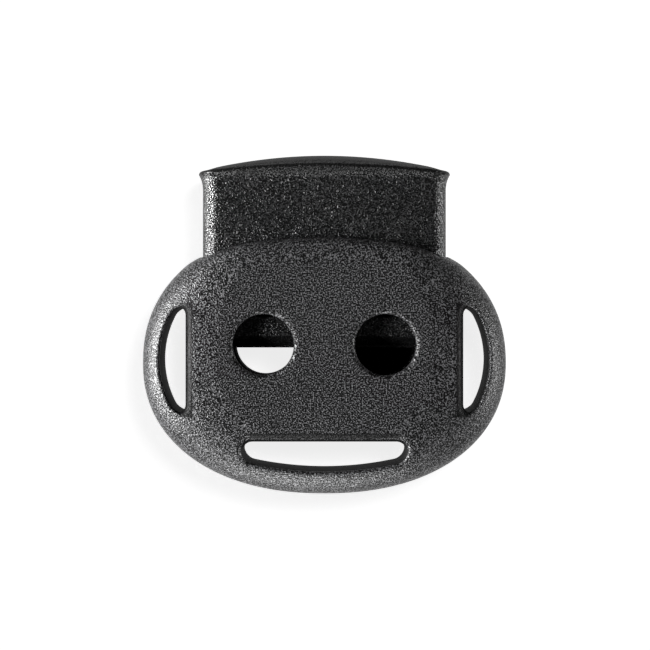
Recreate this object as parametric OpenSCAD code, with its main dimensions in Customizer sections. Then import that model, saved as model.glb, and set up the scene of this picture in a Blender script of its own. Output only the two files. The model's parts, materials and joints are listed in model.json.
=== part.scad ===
// Two-hole cord lock: an oval moulded body, a push button and its spring.
// Millimetres. The lock lies on its back: +Z out of the front face, +Y towards
// the button, +X right. Origin: the back face, midway between the cord holes.

/* [Body] */
// overall width of the body
body_w = 30.2; // [29.2:0.2:33.2]
// body thickness, back face to front face
body_t = 10; // [9.8:0.1:11]
// crown of the mouth above the cord holes
mouth_top = 8.8; // [8.4:0.1:8.9]
// lowest edge of the body below the cord holes
bottom_drop = 12.4; // [12.2:0.1:13.5]
// gap between the moving stem and the cavity wall, each side
slide_gap = 0.1; // [0.05:0.05:0.2]

/* [Cord holes] */
// diameter of both cord holes
hole_d = 5; // [4:0.1:5.2]
// distance between the two cord holes
hole_pitch = 10; // [9.8:0.1:10.2]
// chamfer on the rim of each body hole
hole_chamfer = 0.3; // [0.2:0.05:0.4]

/* [Webbing slots] */
// length of the two side slots
side_slot_l = 8.8; // [8:0.1:9.2]
// distance from the centre line to the inner wall of a side slot
side_slot_in = 11.15; // [11:0.05:11.3]
// plastic left outside a side slot
side_bar = 1.5; // [1.3:0.1:1.8]
// length of the bottom slot
low_slot_l = 13.6; // [11:0.1:13.8]
// height of the bottom slot at its middle
low_slot_h = 2.65; // [2.2:0.05:2.9]
// plastic left below the bottom slot
low_bar = 1.95; // [1.6:0.05:2.4]

/* [Button] */
// width of the sliding stem
stem_w = 20.1; // [19.8:0.1:20.2]
// depth of the sliding stem, back to front
stem_t = 7.1; // [6.8:0.1:7.2]
// crown of the lip above the cord holes
button_top = 15.75; // [15.7:0.05:16.5]
// how far the lip stands out in front of the stem
flare_t = 0.9; // [0.5:0.1:1]
// how far the lip stands out beside the stem
flare_w = 0.5; // [0.3:0.05:0.6]
// how far the button travels to line up the holes
travel = 4.75; // [4.4:0.05:4.8]
// diameter of the cord holes through the stem
gate_d = 4.5; // [3.8:0.1:4.6]
// chamfer on the rim of each stem hole
gate_chamfer = 0.3; // [0.2:0.05:0.4]

/* [Spring] */
// wire thickness
wire_d = 0.5; // [0.4:0.05:0.5]
// outside diameter of the coil
coil_d = 3.5; // [3.3:0.1:3.6]
// turns of wire, closed end turns included
coil_turns = 12; // [11:1:13]

/* [Hidden] */

body_c = body_t / 2;
wide_y = -1.5;              // height of the widest row
rise = 11.5;                // reach of the upper half of the oval
drop = bottom_drop + wide_y;
oval_n = 2.2;               // fullness of the oval seen from the front
pebble_n = 4;               // fullness of the cross-section
pebble_t = body_c * 1.03;   // half thickness before the faces are flattened
shoulder_y = mouth_top + 0.3;
crown_r = 42;               // crown of the mouth and of the lip
ring_n = 20;                // points along each half of the oval
level_n = 6;                // rows from the widest line to a flat face

cavity_w = stem_w + 2 * slide_gap;
cavity_t = stem_t + 2 * slide_gap;
floor_y = -6.3;             // cavity floor
corner_r = 1.3;             // stem corners
hole_x = hole_pitch / 2;
hole_r = hole_d / 2;
side_arc_r = 8;             // outer wall of a side slot
side_tip_r = 0.4;
low_arc_r = 28;             // lower wall of the bottom slot
low_rise = pow(low_slot_l / 2 - 1, 2) / (2 * low_arc_r); // of that wall, towards its ends
low_end_r = (low_slot_h - low_rise) / 2;

bar_low = -0.25;            // underside of the locking bar at rest
bar_chamfer = 0.95;
bump_top = 1.5;             // snap bump, which stops the button at rest
bump_h = 0.8;
bump_out = 0.4;
bump_w = 2.6;
stop_gap = 0.05;

pocket_r = coil_d / 2 + 0.2;
pocket_top = 5.5;
seat_gap = 0.02;
peg_r = coil_d / 2 - wire_d - 0.15;
peg_h = 1.5;
coil_r = (coil_d - wire_d) / 2;
turn_n = 16;                // segments in a turn of wire
wire_n = 8;                 // sides of the wire

flare_y = button_top - 2.1; // where the stem starts to flare
flare_h = 1.2;
eps = 0.01;

function power(v, p) = sign(v) * pow(abs(v), p);
function arc(c, r, a0, a1, n) = [for (i = [0 : n]) let (a = a0 + (a1 - a0) * i / n)
  c + r * [cos(a), sin(a)]];
// corner radius r, centred on the origin
function rounded(w, h, r, n = 6) = concat(
  arc([w / 2 - r, h / 2 - r], r, 0, 90, n), arc([r - w / 2, h / 2 - r], r, 90, 180, n),
  arc([r - w / 2, r - h / 2], r, 180, 270, n), arc([w / 2 - r, r - h / 2], r, 270, 360, n));

// half width of the oval at a height
function half_w(y) = let (u = (y - wide_y) / (y > wide_y ? rise : drop))
  body_w / 2 * pow(1 - pow(abs(u), oval_n), 1 / oval_n);
// one row round the body, drawn in by s: the lower half shrinks both ways, the upper half
// only sideways, so the walls stay full height up to the mouth
function ring(s, z) = concat(
  [for (i = [0 : ring_n]) let (a = 180 + 180 * i / ring_n)
    [s * body_w / 2 * power(cos(a), 2 / oval_n), wide_y + s * drop * power(sin(a), 2 / oval_n), z]],
  [for (i = [1 : 8]) let (y = wide_y + (shoulder_y - wide_y) * i / 8) [s * half_w(y), y, z]],
  [for (i = [8 : -1 : 1]) let (y = wide_y + (shoulder_y - wide_y) * i / 8) [-s * half_w(y), y, z]]);

module pebble() {
  last = asin(pow(body_c / pebble_t, pebble_n / 2));
  tilt = [for (k = [-level_n : level_n]) sign(k) * last * pow(abs(k) / level_n, 1.3)];
  rows = [for (a = tilt) ring(pow(cos(a), 2 / pebble_n),
    body_c + pebble_t * power(sin(a), 2 / pebble_n))];
  m = len(rows[0]);
  top = len(rows) - 1;
  polyhedron(
    points = [for (r = rows) each r],
    faces = concat(
      [[for (i = [0 : m - 1]) i]],
      [[for (i = [m - 1 : -1 : 0]) top * m + i]],
      [for (k = [0 : top - 1], i = [0 : m - 1]) let (j = (i + 1) % m)
        each [[k * m + i, (k + 1) * m + j, k * m + j], [k * m + i, (k + 1) * m + i, (k + 1) * m + j]]]));
}

// a solid whose outline faces +Y, from y0 to y1, centred on the body's thickness
module along_y(y0, y1) {
  translate([0, y1, body_c]) rotate([90, 0, 0]) linear_extrude(y1 - y0) children();
}

module crown(top) {
  translate([0, top - crown_r, -1]) cylinder(h = body_t + 2, r = crown_r, $fn = 240);
}

// a round hole right through, chamfered by c where it meets the faces at z0 and z1
module cord_hole(x, y, r, c, z0, z1) {
  translate([x, y, -1]) cylinder(h = body_t + 2, r = r, $fn = 64);
  translate([x, y, z0 - eps]) cylinder(h = c, r1 = r + c, r2 = r, $fn = 64);
  translate([x, y, z1 + eps - c]) cylinder(h = c, r1 = r, r2 = r + c, $fn = 64);
}

// outline of the right-hand slot: straight inside, an arc outside
function side_slot() = let (
  y = wide_y + 0.25, c = side_tip_r, end = side_slot_l / 2 - c, centre = body_w / 2 - side_bar - side_arc_r,
  a = asin(end / (side_arc_r - c)), tip = centre + (side_arc_r - c) * cos(a))
  concat(
    arc([side_slot_in + c, y - end], c, 180, 270, 4), arc([tip, y - end], c, -90, -a, 4),
    arc([centre, y], side_arc_r, -a, a, 20),
    arc([tip, y + end], c, a, 90, 4), arc([side_slot_in + c, y + end], c, 90, 180, 4));

// outline of the bottom slot: straight above, round at both ends, an arc below
function low_slot() = let (
  top = low_bar - bottom_drop + low_slot_h, c = low_end_r, h = low_slot_l / 2 - c,
  low = low_bar - bottom_drop + low_arc_r, a = asin(h / (low_arc_r - c)))
  concat(
    arc([h, top - c], c, 90, a - 80, 8),
    arc([0, low], low_arc_r, a - 90, -a - 90, 20),
    arc([-h, top - c], c, 260 - a, 90, 8));

module body() {
  color([0.06, 0.06, 0.065])
  difference() {
    intersection() {
      pebble();
      crown(mouth_top);
    }
    difference() {
      along_y(floor_y, shoulder_y + 2) polygon(rounded(cavity_w, cavity_t, corner_r + slide_gap));
      along_y(floor_y - 1, floor_y + peg_h) circle(r = peg_r, $fn = 48);
    }
    // grooves for the snap bumps
    translate([-bump_w / 2 - 0.3, floor_y, body_c - cavity_t / 2 - bump_out - slide_gap])
      cube([bump_w + 0.6, bump_top + stop_gap - floor_y, 1]);
    translate([-bump_w / 2 - 0.3, floor_y, body_c + cavity_t / 2 + bump_out + slide_gap - 1])
      cube([bump_w + 0.6, bump_top + stop_gap - floor_y, 1]);
    for (side = [-1, 1]) cord_hole(side * hole_x, 0, hole_r, hole_chamfer, 0, body_t);
    translate([0, 0, -1]) linear_extrude(body_t + 2) polygon(side_slot());
    mirror([1, 0, 0]) translate([0, 0, -1]) linear_extrude(body_t + 2) polygon(side_slot());
    translate([0, 0, -1]) linear_extrude(body_t + 2) polygon(low_slot());
  }
}

module stem_outline() {
  polygon(rounded(stem_w, stem_t, corner_r));
}

module lip_outline() {
  polygon(rounded(stem_w + 2 * flare_w, stem_t + 2 * flare_t, corner_r + flare_w));
}

// the snap bump, ramped on its lower side
module bump() {
  translate([-bump_w / 2, 0, 0]) rotate([90, 0, 90]) linear_extrude(bump_w)
    polygon([[bump_top - bump_h - 0.1, stem_t / 2 - 0.3], [bump_top - bump_h + 0.3, stem_t / 2 + bump_out],
      [bump_top, stem_t / 2 + bump_out], [bump_top, stem_t / 2 - 0.3]]);
}

module button() {
  color([0.045, 0.045, 0.05])
  difference() {
    union() {
      along_y(bar_low, flare_y) stem_outline();
      intersection() {
        union() {
          hull() {
            along_y(flare_y, flare_y + eps) stem_outline();
            along_y(flare_y + flare_h, flare_y + flare_h + eps) lip_outline();
          }
          along_y(flare_y + flare_h, button_top + 1) lip_outline();
        }
        crown(button_top);
      }
      translate([0, 0, body_c]) bump();
      translate([0, 0, body_c]) mirror([0, 0, 1]) bump();
    }
    for (side = [-1, 1]) cord_hole(side * hole_x, travel, gate_d / 2, gate_chamfer,
      body_c - stem_t / 2, body_c + stem_t / 2);
    along_y(bar_low - 1, pocket_top) circle(r = pocket_r, $fn = 48);
    // slopes under the locking bar, which push the cord aside
    for (face = [0, 1]) translate([0, 0, body_c]) mirror([0, 0, face])
      translate([-stem_w, bar_low, stem_t / 2]) rotate([45, 0, 0])
        translate([0, -2, -bar_chamfer * sin(45)]) cube([2 * stem_w, 4, 3]);
  }
}

module spring() {
  length = pocket_top - floor_y - 2 * seat_gap - wire_d;
  shut = wire_d + 0.03;
  pitch = (length - 2 * shut) / (coil_turns - 2);
  steps = coil_turns * turn_n;
  rise_at = function (t) t < 1 ? t * shut
    : t > coil_turns - 1 ? length - (coil_turns - t) * shut
    : shut + (t - 1) * pitch;
  rows = [for (i = [0 : steps]) let (t = i / turn_n, a = 360 * t)
    [for (k = [0 : wire_n - 1]) let (b = 360 * k / wire_n, r = coil_r + wire_d / 2 * cos(b))
      [r * sin(a), floor_y + seat_gap + wire_d / 2 + rise_at(t) + wire_d / 2 * sin(b), body_c + r * cos(a)]]];
  color([0.7, 0.7, 0.72])
  polyhedron(
    points = [for (r = rows) each r],
    faces = concat(
      [[for (k = [wire_n - 1 : -1 : 0]) k]],
      [[for (k = [0 : wire_n - 1]) steps * wire_n + k]],
      [for (i = [0 : steps - 1], k = [0 : wire_n - 1]) let (l = (k + 1) % wire_n)
        each [[i * wire_n + k, i * wire_n + l, (i + 1) * wire_n + l],
          [i * wire_n + k, (i + 1) * wire_n + l, (i + 1) * wire_n + k]]]));
}

body();
button();
spring();
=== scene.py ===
# %% [markdown]
# # A two-hole cord lock
# A cord lock is three pieces: an oval body, a button that slides into it, and a spring that
# pushes the button out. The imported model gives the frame: where every piece sits and how the
# button moves. This file gives the looks: smooth moulded surfaces, black plastic with the fine
# grain of a spark-eroded mould, and bright spring wire.

# %% Load the frame
import json
from math import atan, pi, radians

import bmesh
import bpy
import numpy as np
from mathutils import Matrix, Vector


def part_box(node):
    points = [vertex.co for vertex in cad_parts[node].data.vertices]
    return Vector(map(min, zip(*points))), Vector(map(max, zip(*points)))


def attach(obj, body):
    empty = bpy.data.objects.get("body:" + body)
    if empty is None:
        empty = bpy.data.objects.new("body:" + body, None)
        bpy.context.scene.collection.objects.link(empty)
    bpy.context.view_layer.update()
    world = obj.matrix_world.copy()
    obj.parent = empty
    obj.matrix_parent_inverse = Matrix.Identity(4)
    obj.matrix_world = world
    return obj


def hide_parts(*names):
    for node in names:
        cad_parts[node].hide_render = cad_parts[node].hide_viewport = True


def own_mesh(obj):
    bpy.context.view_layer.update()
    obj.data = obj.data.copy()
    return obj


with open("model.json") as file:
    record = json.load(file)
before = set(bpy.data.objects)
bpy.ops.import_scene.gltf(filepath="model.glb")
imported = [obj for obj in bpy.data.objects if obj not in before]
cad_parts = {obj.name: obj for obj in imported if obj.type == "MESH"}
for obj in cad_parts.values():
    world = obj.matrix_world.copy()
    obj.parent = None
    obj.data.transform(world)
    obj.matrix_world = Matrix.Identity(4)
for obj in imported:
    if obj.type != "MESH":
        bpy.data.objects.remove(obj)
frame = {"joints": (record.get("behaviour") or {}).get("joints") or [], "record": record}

MM, UM = 1e-3, 1e-6
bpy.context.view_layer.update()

# %% [markdown]
# ## Sizes
# A piece goes where the frame says, so the driving sizes are read from the nodes' boxes, the
# mounts and the joint. What no box can tell, such as how full the oval is, is named here with
# the design's own value. Lengths stay in millimetres until a mesh is written, and heights are
# counted from the middle of the body's thickness, because front and back are alike.

# %% Sizes from the frame
body_lo, body_hi = (np.array(corner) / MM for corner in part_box("body"))
spring_lo, spring_hi = (np.array(corner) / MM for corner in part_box("spring"))
mounts = {m["name"]: m for m in frame["record"]["mounts"]}

HALF_W = (body_hi[0] - body_lo[0]) / 2
HALF_T = (body_hi[2] - body_lo[2]) / 2
MID_Z = (body_hi[2] + body_lo[2]) / 2
HOLE_X = mounts["cord_hole_right_front"]["pos_m"][0] / MM
HOLE_R = mounts["cord_hole_right_front"]["dims"]["r_mm"]
TRAVEL = frame["joints"][0]["range_m"][1] / MM

WIDE_Y = -1.5                       # height of the widest row of the oval
RISE = 11.5                         # reach of its upper half
DROP = WIDE_Y - body_lo[1]          # reach of its lower half
OVAL_N = 2.2                        # 2 is an ellipse, more is fuller
PEBBLE_N = 4                        # the same for the cross-section
PEBBLE_T = HALF_T * 1.03            # half thickness before the faces are flattened
OVAL_END = 0.97                     # share of the reach that is used: its very end is too steep
CROWN_R = 42                        # the mouth and the lip are both crowned
MOUTH_TOP = 8.8
BROW_FALL, BROW_REACH = 0.28, 2.6   # the faces fall a little towards the mouth
STEM_W, STEM_T, STEM_R = 20.1, 7.1, 1.3
GAP = 0.1                           # sliding clearance, each side
FLOOR_Y = -6.3                      # floor of the cavity
print(f"body {2 * HALF_W:.1f} x {2 * HALF_T:.1f} mm, hole radius {HOLE_R} mm, travel {TRAVEL:.2f} mm")

# %% [markdown]
# ## Meshes from arrays
# Every piece is worked out as whole numpy arrays and poured into the mesh with foreach_set,
# which is far quicker than adding vertices one by one. The helper also takes normals: where the
# exact slope of a surface is known, it shades more smoothly than the faces alone can.

# %% Write a mesh
def make_piece(name, points, faces, normals=None):
    """An object from points in mm, counted from mid-thickness, and faces with equal corners."""
    points = (np.asarray(points) + [0, 0, MID_Z]) * MM
    mesh = bpy.data.meshes.new(name)
    mesh.vertices.add(len(points))
    mesh.vertices.foreach_set("co", points.ravel())
    mesh.loops.add(faces.size)
    mesh.loops.foreach_set("vertex_index", faces.ravel())
    mesh.polygons.add(len(faces))
    mesh.polygons.foreach_set("loop_start", np.arange(0, faces.size, faces.shape[1]))
    mesh.update(calc_edges=True)
    mesh.shade_smooth()
    if normals is not None:
        mesh.normals_split_custom_set_from_vertices(normals)
    piece = bpy.data.objects.new(name, mesh)
    bpy.context.scene.collection.objects.link(piece)
    print(f"{name}: {len(points)} points, {len(faces)} faces")
    return piece


def grid_faces(rows, columns):
    """Quads of a grid whose columns wrap round: corner (r, c) joins (r, c+1), (r+1, c+1), (r+1, c)."""
    r, c = np.meshgrid(np.arange(rows - 1), np.arange(columns), indexing="ij")
    right = (c + 1) % columns
    quads = [r * columns + c, r * columns + right, (r + 1) * columns + right, (r + 1) * columns + c]
    return np.stack(quads, axis=-1).reshape(-1, 4)

# %% [markdown]
# ## The body as a field
# The body is one moulding with three slots, two holes, a cavity and softly rolled edges
# everywhere. A single grid of two parameters can't carry that many openings, and cutting them
# with Booleans leaves sharp, uneven edges. So the solid is written as a field: a formula that is
# negative inside, positive outside and close to the distance from the skin. Solids are then cut
# and joined by comparing numbers, and an edge rolls over wherever two fields meet.

# %% Rules for joining fields
def cut(solid, hole, roll):
    """solid minus hole, its edge rolled to a radius.

    Where both distances are within the radius, the skin is the circle of that radius about the
    point that lies the radius inside both; elsewhere the larger of the two distances counts.
    """
    return overlap(solid, -hole, roll)


def overlap(a, b, roll):
    """What is inside both fields, its edge rolled to a radius, as cut() explains."""
    corner = np.hypot(np.maximum(a + roll, 0), np.maximum(b + roll, 0))
    return np.minimum(np.maximum(a, b), -roll) + corner


def rounded_box(u, v, half_u, half_v, radius):
    """Distance from a flat rectangle with round corners: the distance to its inner rectangle less
    the radius."""
    du = np.abs(u) - half_u + radius
    dv = np.abs(v) - half_v + radius
    return np.hypot(np.maximum(du, 0), np.maximum(dv, 0)) + np.minimum(np.maximum(du, dv), 0) - radius

# %% [markdown]
# ## The pebble
# Seen from the front, the body is an oval a little fuller than an ellipse. Its rim rolls over
# slowly, so light slides round it, and the middle of each face is flat. Below its widest row the
# section shrinks towards a point; above it, only sideways, so the walls keep their height up to
# the mouth where the button slides in.

# %% Shape of the pebble
def half_width(y):
    """Half the body's width at a height: w (1 - |u|^n)^(1/n), u being the height over the reach."""
    u = np.abs(y - WIDE_Y) / np.where(y > WIDE_Y, RISE, DROP)
    return HALF_W * (1 - np.minimum(u, OVAL_END) ** OVAL_N) ** (1 / OVAL_N)


def oval(x, y):
    """0 in the middle, 1 on the outline: (|x/w|^n + |y/d|^n)^(1/n) below, |x| / half_width above."""
    below = np.maximum(WIDE_Y - y, 0) / DROP
    whole = ((np.abs(x) / HALF_W) ** OVAL_N + below ** OVAL_N) ** (1 / OVAL_N)
    return np.where(y < WIDE_Y, whole, np.abs(x) / half_width(y))


def pebble(x, y, z):
    """Distance from the pebble: (oval^n + |z/t|^n)^(1/n) - 1, over the length of its own slope."""
    def level(x, y, z):
        return (oval(x, y) ** PEBBLE_N + (np.abs(z) / PEBBLE_T) ** PEBBLE_N) ** (1 / PEBBLE_N) - 1

    step, least_slope = 0.01, 0.03
    here = level(x, y, z)
    slope = np.sqrt((level(x + step, y, z) - here) ** 2 + (level(x, y + step, z) - here) ** 2
                    + (level(x, y, z + step) - here) ** 2) / step
    return here / np.maximum(slope, least_slope)

# %% [markdown]
# ## Openings of the body
# The side slots are straight inside and bowed outside, with narrow tips. The lower slot is
# straight above and bowed below, with round ends. Their straight walls and their ends step in just
# below the rim, so a dark band lies between the rim and the opening. The cavity is a rounded
# rectangle, with a peg for the spring on its floor and a groove at the middle of each wall for
# the snap bumps.

# %% The slots and the cavity
SIDE_IN, SIDE_BAR = 10.9, 1.55      # the straight wall's place, and the bar left at the bow's top
SIDE_RISE = 0.25                    # from the oval's widest row to the side slots' middle
SIDE_L, SIDE_ARC = 9.2, 8.0         # length, and radius of the bowed wall
SIDE_TIP_R, SIDE_END_R = 0.6, 0.7   # rounding between the two walls, and where the length ends
LOW_TOP, LOW_END = -7.46, -10.42    # the straight wall's place, and the lowest place of the bow
LOW_L, LOW_ARC, LOW_END_R = 14.0, 28.0, 0.85
SIDE_STEP, LOW_STEP, END_STEP = 0.55, 0.55, 0.22  # how far in the walls lie from the slots' rims
STEP_POWER = 8                      # more brings the step nearer to the face
PEG_R, PEG_H, PEG_ROLL = 1.1, 1.5, 0.2
GROOVE_W, GROOVE_T, GROOVE_TOP = 3.2, 0.5, 1.55
FLOOR_ROLL, MOUTH_ROLL, CAVITY_ROLL, HOLE_ROLL, SLOT_ROLL = 0.4, 0.7, 0.12, 0.35, 0.3


def side_slots(x, y, sunk):
    """Inside the bowed wall's circle and outside the straight wall, cut off at both ends.

    sunk is 0 at the rims and 1 inside, where the straight wall and the ends have stepped in.
    """
    x, y = np.abs(x), y - WIDE_Y - SIDE_RISE
    bow = np.hypot(x - HALF_W + SIDE_BAR + SIDE_ARC, y) - SIDE_ARC
    walls = overlap(SIDE_IN + SIDE_STEP * sunk - x, bow, SIDE_TIP_R)
    return overlap(walls, np.abs(y) - SIDE_L / 2 + END_STEP * sunk, SIDE_END_R)


def low_slot(x, y, sunk):
    """Below its straight top and inside the bowed wall's circle, with round ends."""
    bow = np.hypot(x, y - LOW_END - LOW_ARC) - LOW_ARC
    walls = np.maximum(y - LOW_TOP + LOW_STEP * sunk, bow)
    return overlap(walls, np.abs(x) - LOW_L / 2 + END_STEP * sunk, LOW_END_R)


def cavity(x, y, z):
    """A rounded rectangle above the floor, less the peg, plus the two grooves."""
    room = overlap(rounded_box(x, z, STEM_W / 2 + GAP, STEM_T / 2 + GAP, STEM_R + GAP), FLOOR_Y - y,
                   FLOOR_ROLL)
    peg = overlap(np.hypot(x, z) - PEG_R, y - FLOOR_Y - PEG_H, PEG_ROLL)
    groove = np.maximum(np.abs(x) - GROOVE_W / 2, np.abs(z) - STEM_T / 2 - GAP - GROOVE_T)
    groove = np.maximum(groove, np.maximum(FLOOR_Y + FLOOR_ROLL - y, y - GROOVE_TOP))
    return np.maximum(np.minimum(room, groove), -peg)


def body_field(x, y, z):
    """The pebble, flattened, crowned at the mouth, then cut by every opening in turn."""
    crown = np.hypot(x, y - MOUTH_TOP + CROWN_R) - CROWN_R
    brow = BROW_FALL * np.clip(1 + crown / BROW_REACH, 0, 1) ** 2
    flat = np.maximum(pebble(x, y, z), np.abs(z) - HALF_T + brow)
    solid = overlap(flat, crown, MOUTH_ROLL)
    solid = cut(solid, cavity(x, y, z), CAVITY_ROLL)
    solid = cut(solid, np.hypot(np.abs(x) - HOLE_X, y) - HOLE_R, HOLE_ROLL)
    sunk = 1 - np.minimum(np.abs(z) / HALF_T, 1) ** STEP_POWER
    solid = cut(solid, side_slots(x, y, sunk), SLOT_ROLL)
    return cut(solid, low_slot(x, y, sunk), SLOT_ROLL)

# %% [markdown]
# ## From a field to a skin
# Surface nets turn a field into a mesh. A box grid is laid over the piece. Each cell that the
# skin passes through gets one point, at the mean of the places where the skin crosses the cell's
# edges, and each crossed edge gets one quad that joins the four cells round it. The points are
# then slid along the field's slope until they lie on the skin itself, and the slope is kept as
# the normal. Grid lines sit closer together where edges are small.

# %% Surface nets
def slope_of(field, points, step=0.004):
    """The field's slope at points: the difference over a small step to each side, along each axis."""
    slope = np.empty_like(points)
    for axis in range(3):
        shift = np.zeros(3)
        shift[axis] = step
        slope[:, axis] = (field(*(points + shift).T) - field(*(points - shift).T)) / (2 * step)
    return slope


def skin(field, lines):
    """Points, quads and normals of field = 0 on the box grid whose lines are given for x, y, z."""
    grid = np.meshgrid(*lines, indexing="ij")
    value = field(*grid)
    shape = tuple(len(line) - 1 for line in lines)
    total = np.zeros(shape + (3,))
    count = np.zeros(shape)
    crossings = []
    for axis in range(3):
        low = tuple(slice(0, -1) if a == axis else slice(None) for a in range(3))
        high = tuple(slice(1, None) if a == axis else slice(None) for a in range(3))
        a, b = value[low], value[high]
        crossed = (a < 0) != (b < 0)
        share = np.where(crossed, a / np.where(crossed, a - b, 1), 0)
        place = np.stack([g[low] + (share * (grid[axis][high] - g[low]) if i == axis else 0)
                          for i, g in enumerate(grid)], axis=-1) * crossed[..., None]
        u, v = (axis + 1) % 3, (axis + 2) % 3
        for du in (0, 1):
            for dv in (0, 1):
                part = [slice(None)] * 3
                part[u] = slice(du, shape[u] + du)
                part[v] = slice(dv, shape[v] + dv)
                total += place[tuple(part)]
                count += crossed[tuple(part)]
        crossings.append((axis, u, v, crossed, a < 0))
    active = count > 0
    index = np.cumsum(active).reshape(shape) - 1
    points = total[active] / count[active][:, None]

    quads = []
    for axis, u, v, crossed, leaving in crossings:
        where = np.argwhere(crossed)
        ring = []
        for du, dv in ((-1, -1), (0, -1), (0, 0), (-1, 0)):
            cell = where.copy()
            cell[:, u] += du
            cell[:, v] += dv
            ring.append(index[tuple(cell.T)])
        ring = np.stack(ring, axis=-1)
        turn = ~leaving[tuple(where.T)]
        ring[turn] = ring[turn][:, ::-1]
        quads.append(ring)

    reach = 0.5 * min(np.diff(line).min() for line in lines)
    rounds, tiny = 5, 1e-4
    for _ in range(rounds):
        slope = slope_of(field, points)
        length = np.sum(slope ** 2, axis=1)
        move = -field(*points.T) / np.maximum(length, tiny)
        move = np.clip(move * np.sqrt(length), -reach, reach) / np.sqrt(np.maximum(length, tiny))
        points = points + move[:, None] * slope
    normals = slope_of(field, points)
    normals /= np.maximum(np.linalg.norm(normals, axis=1), 1e-9)[:, None]
    return points, np.concatenate(quads), normals


def grid_line(low, high, coarse, fine, bands):
    """Grid line places from low to high: spaced by fine in the bands, by coarse elsewhere.

    The number of lines up to a place is the integral of the density, 1 over the spacing, so the
    places are where that integral is whole. Just outside a band the density fades.
    """
    samples, fade = 4000, 0.3
    s = np.linspace(low, high, samples)
    near = np.zeros_like(s)
    for start, end in bands:
        near = np.maximum(near, np.clip(1.5 - np.maximum(start - s, s - end) / fade, 0, 1))
    density = near / fine + (1 - near) / coarse
    count = np.concatenate([[0], np.cumsum((density[1:] + density[:-1]) / 2 * np.diff(s))])
    return np.interp(np.arange(0, count[-1]), count, s)

# %% [markdown]
# ## The body's skin
# The edges roll over within a few tenths of a millimetre, at the mouth and just below both faces,
# and the walls between run straight. So the grid is fine only in those bands. An even grid as
# fine as that would add faces where nothing bends.

# %% Make the body
CELL, MOUTH_CELL = 0.19, 0.14
WALL_CELL, FACE_CELL = 0.32, 0.13   # through the thickness: walls run straight, rims need more
MOUTH_BAND, FACE_BAND = 8.0, 0.6    # the mouth's rim starts here; depth of the faces' rims
ROOM, FACE_ROOM = 0.4, 0.3          # empty cells round the piece
across = grid_line(-HALF_W - ROOM, HALF_W + ROOM, CELL, CELL, [])
upright = grid_line(body_lo[1] - ROOM, body_hi[1] + ROOM, CELL, MOUTH_CELL, [(MOUTH_BAND, body_hi[1])])
through = grid_line(-HALF_T - FACE_ROOM, HALF_T + FACE_ROOM, WALL_CELL, FACE_CELL,
                    [(-HALF_T, -HALF_T + FACE_BAND), (HALF_T - FACE_BAND, HALF_T)])
body = make_piece("body_moulding", *skin(body_field, (across, upright, through)))

# %% [markdown]
# ## The button
# The button is a stem carried along a straight path: its section is a rounded rectangle whose
# half sizes change with height. The underside starts as a line, opens out to the sloped lower
# edges of the locking bar, runs straight up the stem, flares at the lip, rolls over the lip's
# edge and closes along a ridge. Only the heights near the lip also depend on the place across,
# because the lip is crowned like the mouth of the body.

# %% The section of the stem
BAR_LOW, BAR_SLOPE = -0.25, 0.95    # the underside's place, and the height of its sloped edges
BAR_ROLL, BAR_R = 0.15, 0.9         # the underside's rolled edge, and its corner radius
LIP_TOP, LIP_EDGE, LIP_EDGE_R, LIP_ROLL = 15.75, 14.95, 80, 0.3
RIDGE_END = 1.6                     # from the end of the ridge to the end of the lip
FLARE_Y, FLARE_H, FLARE_T = 13.5, 1.2, 0.9
SIDE_FLARE_Y, SIDE_FLARE_H, FLARE_W = 12.7, 1.4, 0.4
FLARE_POWER = 2.2                   # 1 is a straight flare, more bends out later
CORNER_POINTS, WIDE_POINTS, NARROW_POINTS = 14, 90, 14


def section_frame(corner, wide, narrow):
    """Directions round a rounded rectangle: for each point, the corner's signs and the arc's."""
    quarter = np.linspace(0, pi / 2, corner)
    signs, arcs = [], []
    for k, (sx, sz) in enumerate(((1, 1), (-1, 1), (-1, -1), (1, -1))):
        angle = quarter + k * pi / 2
        signs.append(np.stack([np.full(corner, sx), np.full(corner, sz)], 1))
        arcs.append(np.stack([np.cos(angle), np.sin(angle)], 1))
        run = np.linspace(0, 1, (wide if k % 2 == 0 else narrow) + 2)[1:-1, None]
        following = np.array(((-1, 1), (-1, -1), (1, -1), (1, 1))[k])
        signs.append(np.array([sx, sz]) * (1 - run) + following * run)
        arcs.append(np.repeat([[np.cos(angle[-1]), np.sin(angle[-1])]], len(run), 0))
    return np.concatenate(signs), np.concatenate(arcs)


SIGNS, ARCS = section_frame(CORNER_POINTS, WIDE_POINTS, NARROW_POINTS)


def section(half_w, half_t, radius):
    """Points of a rounded rectangle: the inner rectangle's corner plus the radius times the arc."""
    x = SIGNS[:, 0] * (half_w - radius) + radius * ARCS[:, 0]
    z = SIGNS[:, 1] * (half_t - radius) + radius * ARCS[:, 1]
    return x, z


def crown_drop(x):
    """How far the crown falls at a place across: R - sqrt(R^2 - x^2)."""
    return CROWN_R - np.sqrt(CROWN_R ** 2 - x ** 2)


def lip_edge(x):
    """The height of the lip's edge at a place across: it falls by x^2 / 2R."""
    return LIP_EDGE - x ** 2 / (2 * LIP_EDGE_R)


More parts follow.
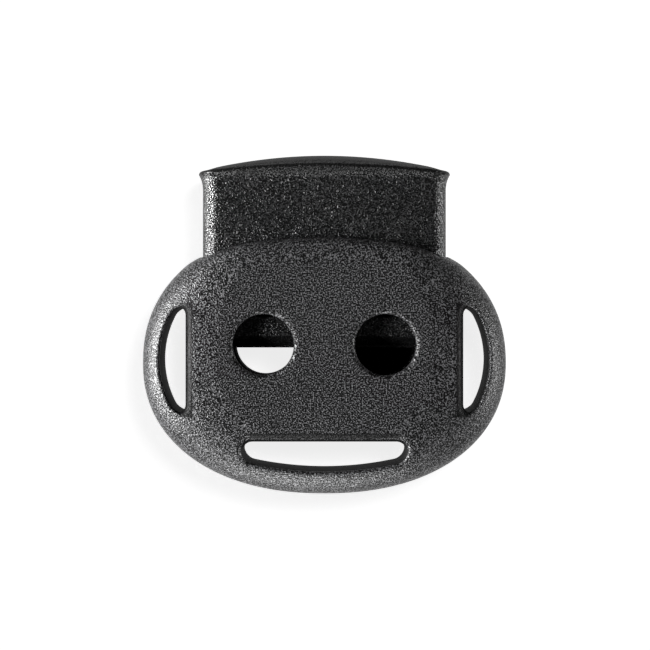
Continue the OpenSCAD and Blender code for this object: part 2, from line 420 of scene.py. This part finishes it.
def button_rows():
    """The button's rings from the middle of its underside to the ridge of its lip.

    A ring is the section at one height. Up the flare its half sizes grow by the share of the
    height to a power. Over the dome, q falls from 1 to 0 and the height is the rim's times q^2
    plus the crown's times (1 - q^2), so the dome meets the ridge level.
    """
    rows = []

    def add(y, half_w, half_t, radius):
        x, z = section(half_w, half_t, radius)
        rows.append(np.stack([x, y + 0 * x, z], 1))

    w, t = STEM_W / 2, STEM_T / 2
    low_t = t - BAR_SLOPE
    edge, rolled_r = BAR_ROLL, BAR_R + BAR_ROLL / 2
    for q in np.linspace(0, 1, 5):
        add(BAR_LOW, w - edge - (low_t - edge) * (1 - q), (low_t - edge) * q, BAR_R * q)
    for a in np.linspace(0, pi / 2, 5)[1:]:
        roll = edge * np.sin(a)
        add(BAR_LOW + edge * (1 - np.cos(a)), w - edge + roll, low_t - edge + roll, BAR_R + roll / 2)
    for q in np.linspace(0, 1, 7)[1:]:
        corner_r = rolled_r + (STEM_R - rolled_r) * q
        add(BAR_LOW + edge + (BAR_SLOPE - edge) * q, w, low_t + BAR_SLOPE * q, corner_r)
    for y in np.linspace(BAR_LOW + BAR_SLOPE + 0.1, SIDE_FLARE_Y, 14):
        add(y, w, t, STEM_R)

    base_x, _ = section(w, t, STEM_R)
    top_y = lip_edge(base_x)

    def flare(y):
        side = np.clip((y - SIDE_FLARE_Y) / SIDE_FLARE_H, 0, 1) ** FLARE_POWER
        front = np.clip((y - FLARE_Y) / FLARE_H, 0, 1) ** FLARE_POWER
        return w + FLARE_W * side, t + FLARE_T * front, STEM_R + FLARE_W * side

    for q in np.linspace(0, 1, 34)[1:]:
        y = SIDE_FLARE_Y + (top_y - LIP_ROLL - SIDE_FLARE_Y) * q
        add(y, *flare(y))
    half_w, half_t, radius = flare(top_y - LIP_ROLL)
    for a in np.linspace(0, pi / 2, 8)[1:]:
        inward = LIP_ROLL * (1 - np.cos(a))
        add(top_y - LIP_ROLL + LIP_ROLL * np.sin(a), half_w - inward, half_t - inward, radius - inward)
    half_w, half_t, radius = half_w - LIP_ROLL, half_t - LIP_ROLL, radius - LIP_ROLL
    for q in np.linspace(1, 0, 18)[1:]:
        size = half_w - RIDGE_END * (1 - q), half_t * q, radius * q
        x, _ = section(*size)
        rim_y = top_y * q + lip_edge(x) * (1 - q)
        add(rim_y * q ** 2 + (LIP_TOP - crown_drop(x)) * (1 - q ** 2), *size)
    return np.array(rows)


def tidy_mesh(piece, angle=35):
    """Merges doubled points, turns faces outwards and marks edges sharper than the angle."""
    work = bmesh.new()
    work.from_mesh(piece.data)
    bmesh.ops.remove_doubles(work, verts=work.verts, dist=0.002 * MM)
    bmesh.ops.dissolve_degenerate(work, edges=work.edges, dist=0.001 * MM)
    bmesh.ops.recalc_face_normals(work, faces=work.faces)
    work.to_mesh(piece.data)
    work.free()
    piece.data.shade_smooth()
    piece.data.set_sharp_from_angle(angle=radians(angle))


def turned(name, profile, centre, along, sides=96):
    """A closed turned cutter: the profile's (distance along, radius) pairs spun about an axis."""
    angle = 2 * pi * np.arange(sides) / sides
    s, r = np.array(profile).T[:, :, None]
    u, v = (along + 1) % 3, (along + 2) % 3
    points = np.empty((len(profile), sides, 3))
    points[..., along] = s
    points[..., u] = r * np.cos(angle)
    points[..., v] = r * np.sin(angle)
    points = points.reshape(-1, 3) + np.array(centre)
    piece = make_piece(name, points, grid_faces(len(profile), sides))
    tidy_mesh(piece)
    return piece


def combine(piece, others, operation):
    """Booleans the others into the piece, keeps the result as its mesh and deletes the others."""
    for other in others:
        step = piece.modifiers.new("combine", "BOOLEAN")
        step.operation, step.solver, step.object = operation, "EXACT", other
    view = bpy.context.evaluated_depsgraph_get()
    mesh = bpy.data.meshes.new_from_object(piece.evaluated_get(view))
    piece.modifiers.clear()
    piece.data = mesh
    for other in others:
        bpy.data.objects.remove(other)

# %% [markdown]
# ## The button's holes
# The holes are cut out of the finished moulding. Each cutter is a short profile spun about the
# hole's own axis, and the cord holes' profile widens past the faces, which leaves a chamfer at
# both rims. These holes sit as far up the stem as the button travels, so they meet the body's
# holes when it is fully pressed. The spring's pocket runs up from the underside.

# %% Make the button
GATE_R, GATE_CHAMFER = 2.25, 0.3
POCKET_R, POCKET_TOP = 1.95, 5.5
OUTSIDE = 1                         # how far a cutter starts outside the button
rows = button_rows()
button = make_piece("button_moulding", rows.reshape(-1, 3), grid_faces(len(rows), rows.shape[1]))
tidy_mesh(button)
half = STEM_T / 2
flare_out = GATE_R + GATE_CHAMFER + OUTSIDE
flank = [(-half - OUTSIDE, 0), (-half - OUTSIDE, flare_out), (GATE_CHAMFER - half, GATE_R),
         (half - GATE_CHAMFER, GATE_R), (half + OUTSIDE, flare_out), (half + OUTSIDE, 0)]
gates = [turned(f"gate_{side}", flank, (side * HOLE_X, TRAVEL, 0), 2) for side in (-1, 1)]
start = BAR_LOW - OUTSIDE
pocket_profile = [(start, 0), (start, POCKET_R), (POCKET_TOP, POCKET_R), (POCKET_TOP, 0)]
pocket = turned("pocket", pocket_profile, (0, 0, 0), 1)
combine(button, gates + [pocket], "DIFFERENCE")
tidy_mesh(button)
print("button:", len(button.data.polygons), "faces after its holes are cut")

# %% [markdown]
# ## The spring
# A compression spring is a wire carried along a helix. Its first and last turns lie closed, so
# that it stands square on the floor and in the pocket, and the turns between them are open. The
# wire's ends taper to a point over a fraction of a turn, which closes the surface.

# %% Make the spring
WIRE_D, TURNS = 0.5, 12
CLOSED_GAP = 0.03                   # between the wires of a closed turn
TAPER = 0.03                        # of a turn, at each end of the wire
TURN_STEPS, WIRE_SIDES = 40, 14
SMOOTHING = 8                       # steps to each side over which the pitch changes


def spring_points():
    """Rings of wire about a helix: radius R, height from a table of pitches, wire radius r.

    The height rises by one wire a turn in the closed turns and evenly in between, and a running
    mean rounds the change. Each ring lies in the plane of the axis and its own spoke. Over the
    taper the wire's radius follows a quarter circle down to a point.
    """
    length = spring_hi[1] - spring_lo[1] - WIRE_D
    shut = WIRE_D + CLOSED_GAP
    turn = np.linspace(0, TURNS, TURNS * TURN_STEPS + 1)
    height = np.interp(turn, [0, 1, TURNS - 1, TURNS], [0, shut, length - shut, length])
    window = 2 * SMOOTHING + 1
    padded = np.pad(height, SMOOTHING, "reflect", reflect_type="odd")
    smooth = np.convolve(padded, np.ones(window) / window, "valid")
    from_end = np.minimum(turn, TURNS - turn)
    wire = WIRE_D / 2 * np.sqrt(np.clip(1 - (1 - np.clip(from_end / TAPER, 0, 1)) ** 2, 0, 1))
    coil = (spring_hi[0] - spring_lo[0]) / 2 - WIRE_D / 2
    around = 2 * pi * np.arange(WIRE_SIDES) / WIRE_SIDES
    spoke = coil + wire[:, None] * np.cos(around)
    angle = 2 * pi * turn[:, None]
    points = np.stack([spoke * np.sin(angle),
                       spring_lo[1] + WIRE_D / 2 + smooth[:, None] + wire[:, None] * np.sin(around),
                       spoke * np.cos(angle)], axis=-1)
    return points


wire = spring_points()
spring = make_piece("spring_wire", wire.reshape(-1, 3), grid_faces(len(wire), WIRE_SIDES))
tidy_mesh(spring, 60)

# %% [markdown]
# ## Shader maths
# A wire carries a number from node to node. Wrapping it in a small class with Python's own
# operators makes a chain of Math nodes read like the formula it is.

# %% Shader helpers
class Wire:
    """A node's output socket. Sums, products and powers of wires add Math nodes."""

    def __init__(self, finish, socket):
        self.finish, self.socket = finish, socket

    def math(self, operation, a, b):
        return self.finish.node("Math", {"operation": operation}, {0: a, 1: b})

    def __add__(self, other):
        return self.math("ADD", self, other)

    def __sub__(self, other):
        return self.math("SUBTRACT", self, other)

    def __rsub__(self, other):
        return self.math("SUBTRACT", other, self)

    def __mul__(self, other):
        return self.math("MULTIPLY", self, other)

    def __pow__(self, other):
        return self.math("POWER", self, other)

    __radd__, __rmul__ = __add__, __mul__

    def size(self):
        """The number without its sign."""
        return self.math("ABSOLUTE", self, 0)

    def below(self, limit, soft):
        """1 under the limit, 0 over it, with a soft step between."""
        return self.finish.node("MapRange", {"interpolation_type": "SMOOTHSTEP"}, {
            "Value": self, "From Min": limit - soft, "From Max": limit + soft, "To Min": 1, "To Max": 0})

    def either(self, other):
        """The larger of the two, which joins two masks."""
        return self.math("MAXIMUM", self, other)


class Finish:
    """A material being built round its Principled shader."""

    def __init__(self, name):
        self.material = bpy.data.materials.new(name)
        self.material.use_nodes = True
        self.nodes = self.material.node_tree.nodes
        self.links = self.material.node_tree.links
        self.shader = self.nodes["Principled BSDF"]

    def put(self, socket, value):
        """Links a wire to the socket, or sets the socket to a constant."""
        if isinstance(value, Wire):
            self.links.new(value.socket, socket)
        else:
            socket.default_value = value

    def node(self, kind, settings=None, sockets=None, output=0):
        """Any other node: its type, its settings, its sockets' values or wires, and the output."""
        node = self.nodes.new("ShaderNode" + kind)
        for name, value in (settings or {}).items():
            setattr(node, name, value)
        for name, value in (sockets or {}).items():
            self.put(node.inputs[name], value)
        return Wire(self, node.outputs[output])

    def principled(self, **values):
        """Values or wires for the Principled shader's sockets, with _ for each space."""
        for name, value in values.items():
            self.put(self.shader.inputs[name.replace("_", " ")], value)

    def mix_with_dull(self, share, grey):
        """Where the share is 1 the shader gives way to a dull one without a sheen."""
        dull = self.nodes.new("ShaderNodeBsdfDiffuse")
        dull.inputs["Color"].default_value = (grey, grey, grey, 1)
        mix = self.nodes.new("ShaderNodeMixShader")
        self.put(mix.inputs[0], share)
        self.links.new(self.shader.outputs[0], mix.inputs[1])
        self.links.new(dull.outputs[0], mix.inputs[2])
        self.links.new(mix.outputs[0], self.nodes["Material Output"].inputs["Surface"])

# %% [markdown]
# ## Black plastic with a spark-eroded grain
# The mould's steel is roughened by sparks, which leaves fine, worm-like pits about an eighth of
# a millimetre across. Their floors catch the light and their rims don't. One octave of noise
# gives them an even spacing: it bends the surface through a bump, chooses the grey, and mixes a
# dull shader in between the pits, less on the rounded sides than on the flat faces. A coarser
# noise shifts the grey and the roughness a little. The walls of the openings, the rims of the
# slots' straight walls and the button's top and lip are darkened with painted shade: masks
# written in the piece's own coordinates mix in more of the dull shader there.

# %% The two mouldings
WALL_SHADE, TOP_SHADE, LIP_SHADE = 0.88, 0.8, 0.75     # painted shade: share of the dull shader on the openings' walls, the button's top and its lip
FLAT_GRAIN, SIDE_GRAIN = 0.95, 0.6                  # its share between the pits
# the dull shader's grey: between the pits, and for the painted shade
DULL_GREY = 0.0025


def in_mm(finish, place, axis):
    """One coordinate of the place in millimetres: 0 is x, 1 is y and 2 is z."""
    return finish.node("SeparateXYZ", sockets={"Vector": place}, output=axis) * (1 / MM)


def painted_wall_shade(finish, place):
    """Painted shade: much of the dull shader on the walls of the holes and the slots, none on the
    outer skin.

    A mask is a product of soft steps: across the opening, along it and through the body. Round
    the slots the last limit moves towards mid-thickness outwards, because the rim falls away
    there. The two edge masks add painted shade on the rims of the slots' straight walls, over
    their highlights.
    """
    x, y, z = (in_mm(finish, place, axis) for axis in range(3))
    x, deep = x.size(), (z - MID_Z).size()
    spill, soft = 0.1, 0.05             # how far a mask reaches past its opening, and its soft edge
    fall, fade = 0.4, 0.12              # how far below the face the walls' masks end, and how softly
    hole = ((x - HOLE_X) ** 2 + y ** 2).below((HOLE_R + spill) ** 2, 0.3) * deep.below(HALF_T - fall, 0.1)

    along = (y - WIDE_Y - SIDE_RISE).size()
    bow = (x - HALF_W + SIDE_BAR + SIDE_ARC) ** 2 + along ** 2
    side = ((SIDE_IN - x).below(0.12, soft) * bow.below((SIDE_ARC + 0.25) ** 2, 1.2)
            * along.below(SIDE_L / 2 + spill, soft)
            * (deep + (x - SIDE_IN - 0.45) * 0.55).below(HALF_T - 0.45, fade))
    side_edge = (x - SIDE_IN - 0.05).size().below(0.12, soft) * along.below(SIDE_L / 2 - SIDE_END_R, 0.3)

    bow = x ** 2 + (y - LOW_END - LOW_ARC) ** 2
    low = (y.below(LOW_TOP + 0.28, soft) * bow.below((LOW_ARC + 0.3) ** 2, 4.0)
           * x.below(LOW_L / 2 + spill, soft) * (deep + (LOW_TOP - y) * 0.24).below(HALF_T - fall, fade))
    low_edge = (y - LOW_TOP).size().below(0.22, soft) * x.below(LOW_L / 2 - 0.7, 0.3)
    return hole.either(side).either(side_edge).either(low).either(low_edge) * WALL_SHADE


def painted_lip_shade(finish, place):
    """Painted shade: much of the dull shader on the button's domed top, which faces away from the
    lights, a little less on its lip, over the lip's highlight, and none on the stem.

    The top begins at the lip's edge, a parabola that falls with x squared. The lip begins at
    one height.
    """
    x, y = (in_mm(finish, place, axis) for axis in (0, 1))
    top = 1 - (y + x ** 2 * (0.5 / LIP_EDGE_R)).below(LIP_EDGE + 0.05, 0.05)
    lip = 1 - y.below(FLARE_Y + 0.5, 0.3)
    return (top * TOP_SHADE).either(lip * LIP_SHADE)


def black_plastic(name, grey, roughness, sheen, grain_mm, depth_um, flat_z, painted_shade_mask):
    """A black plastic whose glint is 1 in the pits' floors and 0 between the pits.

    The grey is the glint times twice the given grey, give or take the cloud's part. The dull
    share is 1 minus the glint, times FLAT_GRAIN near the height flat_z of the flat faces and
    times SIDE_GRAIN away from it, or the painted shade from the last argument where that is more.
    """
    finish = Finish(name)
    place = finish.node("TexCoord", output="Object")
    pit = finish.node("TexNoise", sockets={"Vector": place, "Scale": 1 / (grain_mm * MM), "Detail": 1,
                                           "Roughness": 0.45})
    cloud = finish.node("TexNoise", sockets={"Vector": place, "Scale": 1 / (2.5 * MM), "Detail": 3})
    glint = pit.below(0.46, 0.13)
    shade = glint * (2 * grey) + (cloud - 0.5) * (0.25 * grey)
    colour = finish.node("CombineColor", sockets={"Red": shade, "Green": shade, "Blue": shade * 1.04})
    bump = finish.node("Bump", sockets={"Strength": 1.0, "Distance": depth_um * UM, "Height": pit})
    finish.principled(Base_Color=colour, Roughness=roughness + (cloud - 0.5) * 0.08, Normal=bump,
                      Specular_IOR_Level=sheen)
    high = (in_mm(finish, place, 2) - MID_Z).size()
    grain = FLAT_GRAIN - high.below(flat_z - 0.5, 0.4) * (FLAT_GRAIN - SIDE_GRAIN)
    finish.mix_with_dull(((1 - glint) * grain).either(painted_shade_mask(finish, place)), DULL_GREY)
    return finish.material


# Each moulding's mask adds painted shade: the body's on its openings' walls, the button's on its top and
# lip.
body.data.materials.append(black_plastic(
    "black_plastic_grained", grey=0.0285, roughness=0.36, sheen=0.5, grain_mm=0.122, depth_um=60,
    flat_z=HALF_T, painted_shade_mask=painted_wall_shade))
button.data.materials.append(black_plastic(
    "black_plastic_satin", grey=0.006, roughness=0.27, sheen=0.85, grain_mm=0.115, depth_um=75,
    flat_z=STEM_T / 2, painted_shade_mask=painted_lip_shade))

# %% [markdown]
# ## Spring wire
# Drawn steel wire is bright, with faint rings and stains from the drawing die and the coiling
# tool. Two plain noises are enough at this size: a coarse one for stains, a fine one for marks.

# %% The wire
def drawn_steel():
    """Bright steel whose grey and roughness follow the stains and whose bump is the fine marks."""
    finish = Finish("drawn_steel_wire")
    place = finish.node("TexCoord", output="Object")
    stain = finish.node("TexNoise", sockets={"Vector": place, "Scale": 1 / (0.6 * MM), "Detail": 3})
    scratch = finish.node("TexNoise", sockets={"Vector": place, "Scale": 1 / (0.05 * MM), "Detail": 2})
    shade = 0.5 + stain * 0.2
    colour = finish.node("CombineColor", sockets={"Red": shade, "Green": shade, "Blue": shade * 1.02})
    bump = finish.node("Bump", sockets={"Strength": 0.5, "Distance": 0.004 * MM, "Height": scratch})
    finish.principled(Base_Color=colour, Metallic=1.0, Roughness=0.22 + stain * 0.15, Normal=bump)
    return finish.material


spring.data.materials.append(drawn_steel())

# %% [markdown]
# ## Riding on the frame
# Each piece replaces its plain CAD solid and rides on that solid's body, so that it moves with
# the joint. The spring rides rigidly on the shell with a mesh of its own, although the real one
# is squashed towards the cavity floor as the button goes in.

# %% Tie the pieces to the frame
for piece, node, rides, finish in ((body, "body", "shell", "body_plastic"),
                                   (button, "button", "plunger", "button_plastic"),
                                   (spring, "spring", "shell", "spring_steel")):
    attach(piece, rides)
    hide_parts(node)
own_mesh(spring)

# %% [markdown]
# ## Camera
# The lock lies on its back and the camera looks straight down on it. A small object seen from
# twenty centimetres still has perspective: the far edges of the holes show. The lens is set
# from how much of the front face's plane the picture should span.

# %% The camera
CAMERA_ABOVE = 200                  # from the front face
FACE_SPAN = 53.06                   # width of the picture in the plane of the front face
AIM_X, AIM_Y = 0.05, 1.61
camera = bpy.data.objects.new("camera", bpy.data.cameras.new("camera"))
camera.location = Vector((AIM_X, AIM_Y, body_hi[2] + CAMERA_ABOVE)) * MM
camera.data.angle = 2 * atan(FACE_SPAN / 2 / CAMERA_ABOVE)
camera.data.clip_start = 0.01
bpy.context.scene.collection.objects.link(camera)
bpy.context.scene.camera = camera

# %% [markdown]
# ## Floor
# The floor is plain white paper that glows, as on a light table, so it stays pale where the lock
# would shade it. A small black disc lies on it under the right hole, so that this hole looks dark
# all the way down: it is painted shade, standing in for the shadow seen through that hole. Both
# are stage and no part of the lock.

# %% The floor
FLOOR_HALF, FLOOR_BELOW = 600.0, 0.01   # half its side; how far it lies below the lock
FLOOR_GLOW = 0.82
PATCH_R, PATCH_BELOW, PATCH_SIDES = 2.9, 0.005, 64


def pale_floor():
    """White paper with a glow of its own."""
    finish = Finish("pale_floor")
    finish.principled(Base_Color=(0.9, 0.9, 0.9, 1), Roughness=0.9, Emission_Color=(1, 1, 1, 1),
                      Emission_Strength=FLOOR_GLOW)
    return finish.material


def dark_patch():
    """Black without a sheen: painted shade under the right hole."""
    finish = Finish("dark_patch")
    finish.principled(Base_Color=(0.002, 0.002, 0.002, 1), Roughness=1.0, Specular_IOR_Level=0.0)
    return finish.material


corners = np.array([[-1, -1], [1, -1], [1, 1], [-1, 1]]) * FLOOR_HALF
floor = make_piece("floor", np.column_stack([corners, np.full(4, -MID_Z - FLOOR_BELOW)]),
                   np.arange(4)[None])
floor.data.materials.append(pale_floor())
# Painted shade: a black disc on the floor under the right hole.
around = 2 * pi * np.arange(PATCH_SIDES) / PATCH_SIDES
rim = np.column_stack([HOLE_X + PATCH_R * np.cos(around), PATCH_R * np.sin(around),
                       np.full(PATCH_SIDES, -MID_Z - PATCH_BELOW)])
patch = make_piece("dark_patch", rim, np.arange(PATCH_SIDES)[None])
patch.data.materials.append(dark_patch())

# %% [markdown]
# ## Lights
# A large soft light at the left is the key, and weaker ones at the right and below fill the other
# edges. These three shine on the lock alone. A smaller one, high up towards the upper right,
# shines on the floor alone, so the lock's soft shadow falls to the left and below.

# %% The lights
WORLD_GLOW = 0.06
floor_only = bpy.data.collections.new("floor_only")
floor_only.objects.link(floor)
lock_only = bpy.data.collections.new("lock_only")
for piece in (body, button, spring):
    lock_only.objects.link(piece)


def soft_light(name, place, size, watts, shines_on):
    """A square area light, its place and size in metres, that looks at the lock."""
    lamp = bpy.data.lights.new(name, "AREA")
    lamp.size, lamp.energy = size, watts
    light = bpy.data.objects.new(name, lamp)
    light.location = place
    light.rotation_euler = (-Vector(place)).to_track_quat("-Z", "Y").to_euler()
    light.light_linking.receiver_collection = shines_on
    bpy.context.scene.collection.objects.link(light)


soft_light("key_left", (-0.31, -0.01, 0.12), 0.18, 6.8, lock_only)
soft_light("fill_right", (0.31, -0.03, 0.08), 0.14, 1.35, lock_only)
soft_light("fill_below", (-0.05, -0.32, 0.06), 0.16, 2.1, lock_only)
soft_light("floor_light", (0.070, 0.065, 0.28), 0.08, 0.21, floor_only)
world = bpy.data.worlds.new("studio")
world.use_nodes = True
world.node_tree.nodes["Background"].inputs["Color"].default_value = (1, 1, 1, 1)
world.node_tree.nodes["Background"].inputs["Strength"].default_value = WORLD_GLOW
bpy.context.scene.world = world
bpy.context.scene.view_settings.view_transform = "Standard"
